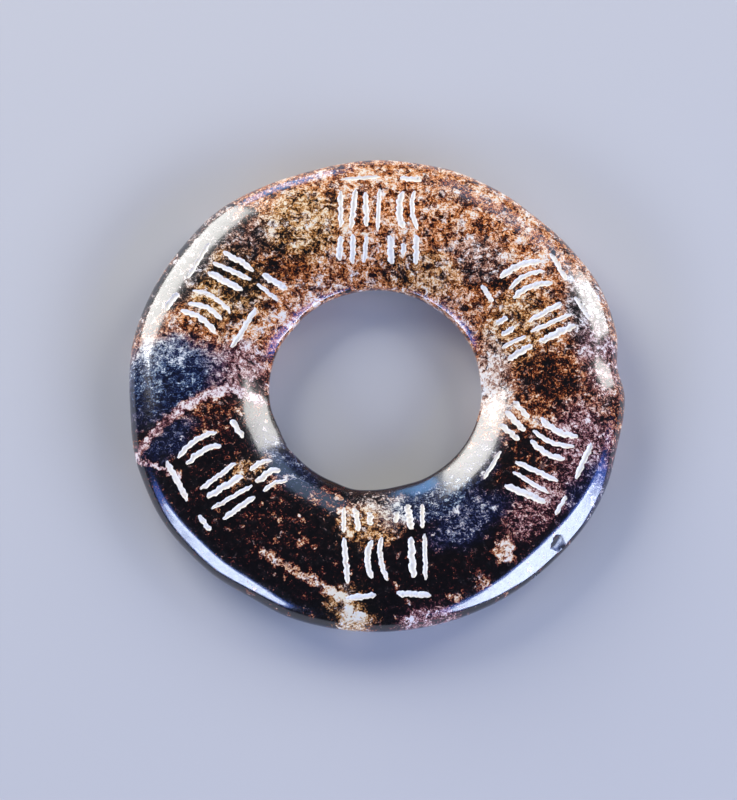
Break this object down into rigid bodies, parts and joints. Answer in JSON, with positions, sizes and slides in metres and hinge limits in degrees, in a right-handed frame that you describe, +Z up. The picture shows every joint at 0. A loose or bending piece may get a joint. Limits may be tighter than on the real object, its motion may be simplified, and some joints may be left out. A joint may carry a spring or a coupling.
{
  "type": "stone ring disc",
  "caption": "Flat polished stone ring with a round hole, rounded inner and outer edges and panels of shallow cut strokes around its face.",
  "frame": {"origin": "on the underside, at the middle of the disc's outer size", "axes": "+Z up out of the cut face along the hole, +Y towards the top of the picture, +X towards its right"},
  "size_m": [0.0994, 0.1, 0.011],
  "materials": {
    "mottled_stone": "polished dark stone, mottled rust, tan, cream and near black, with pale matt cut strokes"
  },
  "bodies": {
    "root": {"ring_disc": "mottled_stone"}
  },
  "joints": []
}
